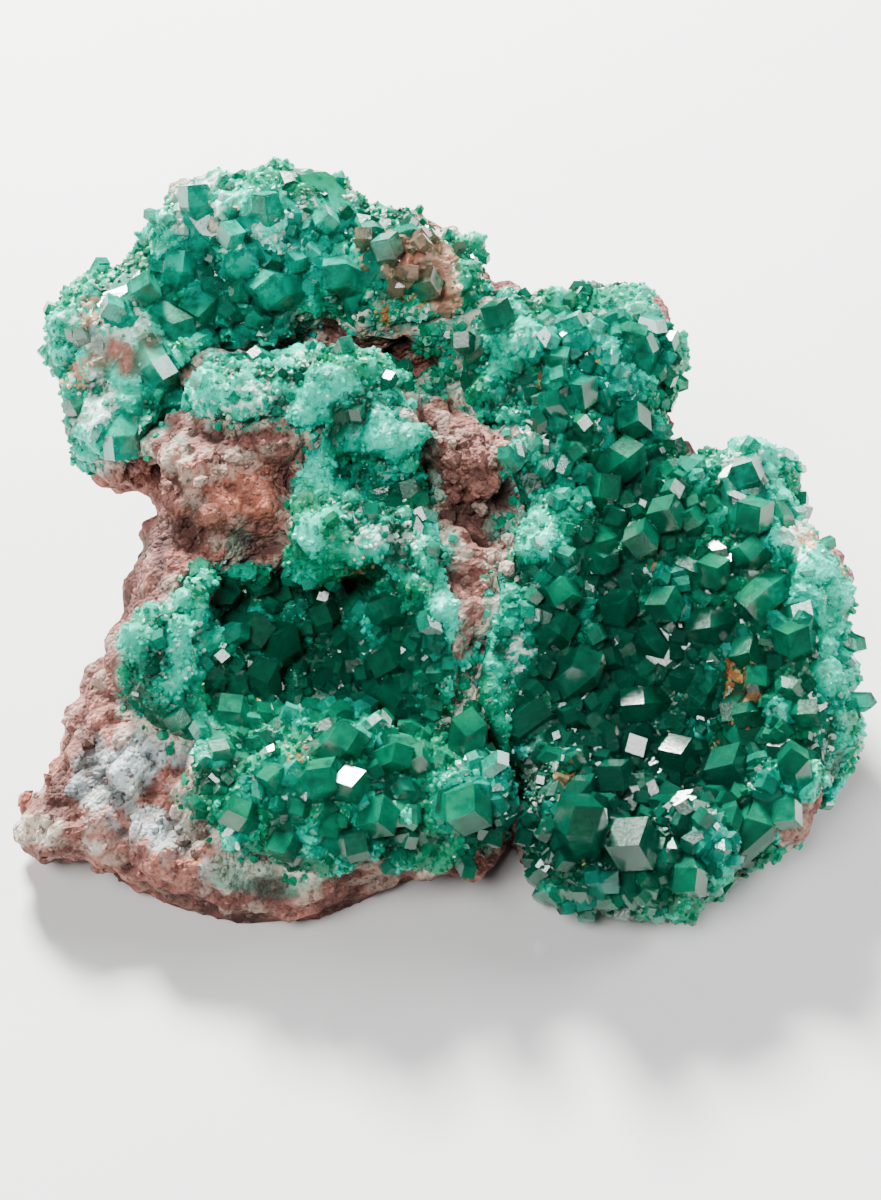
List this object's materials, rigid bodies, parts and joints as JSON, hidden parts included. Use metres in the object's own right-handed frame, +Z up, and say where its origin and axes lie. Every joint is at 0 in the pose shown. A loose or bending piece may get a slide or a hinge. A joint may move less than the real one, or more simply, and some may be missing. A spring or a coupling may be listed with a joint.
{
  "type": "dioptase mineral specimen",
  "caption": "Free-standing mineral specimen: emerald green dioptase crystals in crusts on a red-brown host rock, lying on its flat broken base.",
  "frame": {"origin": "on the plane of the flat base, under the middle of the face that the crystals grow on", "axes": "+X to the right across the crystal face, +Y to the high back of the rock, +Z up"},
  "size_m": [0.0711, 0.0688, 0.0387],
  "materials": {
    "host_rock": null,
    "dioptase": "vitreous crystal faces, deep emerald and nearly opaque in the mass"
  },
  "bodies": {
    "root": {"host_rock": "host_rock", "pocket_crystals": "dioptase", "basin_crystals": "dioptase", "back_crystals": "dioptase"}
  },
  "joints": []
}
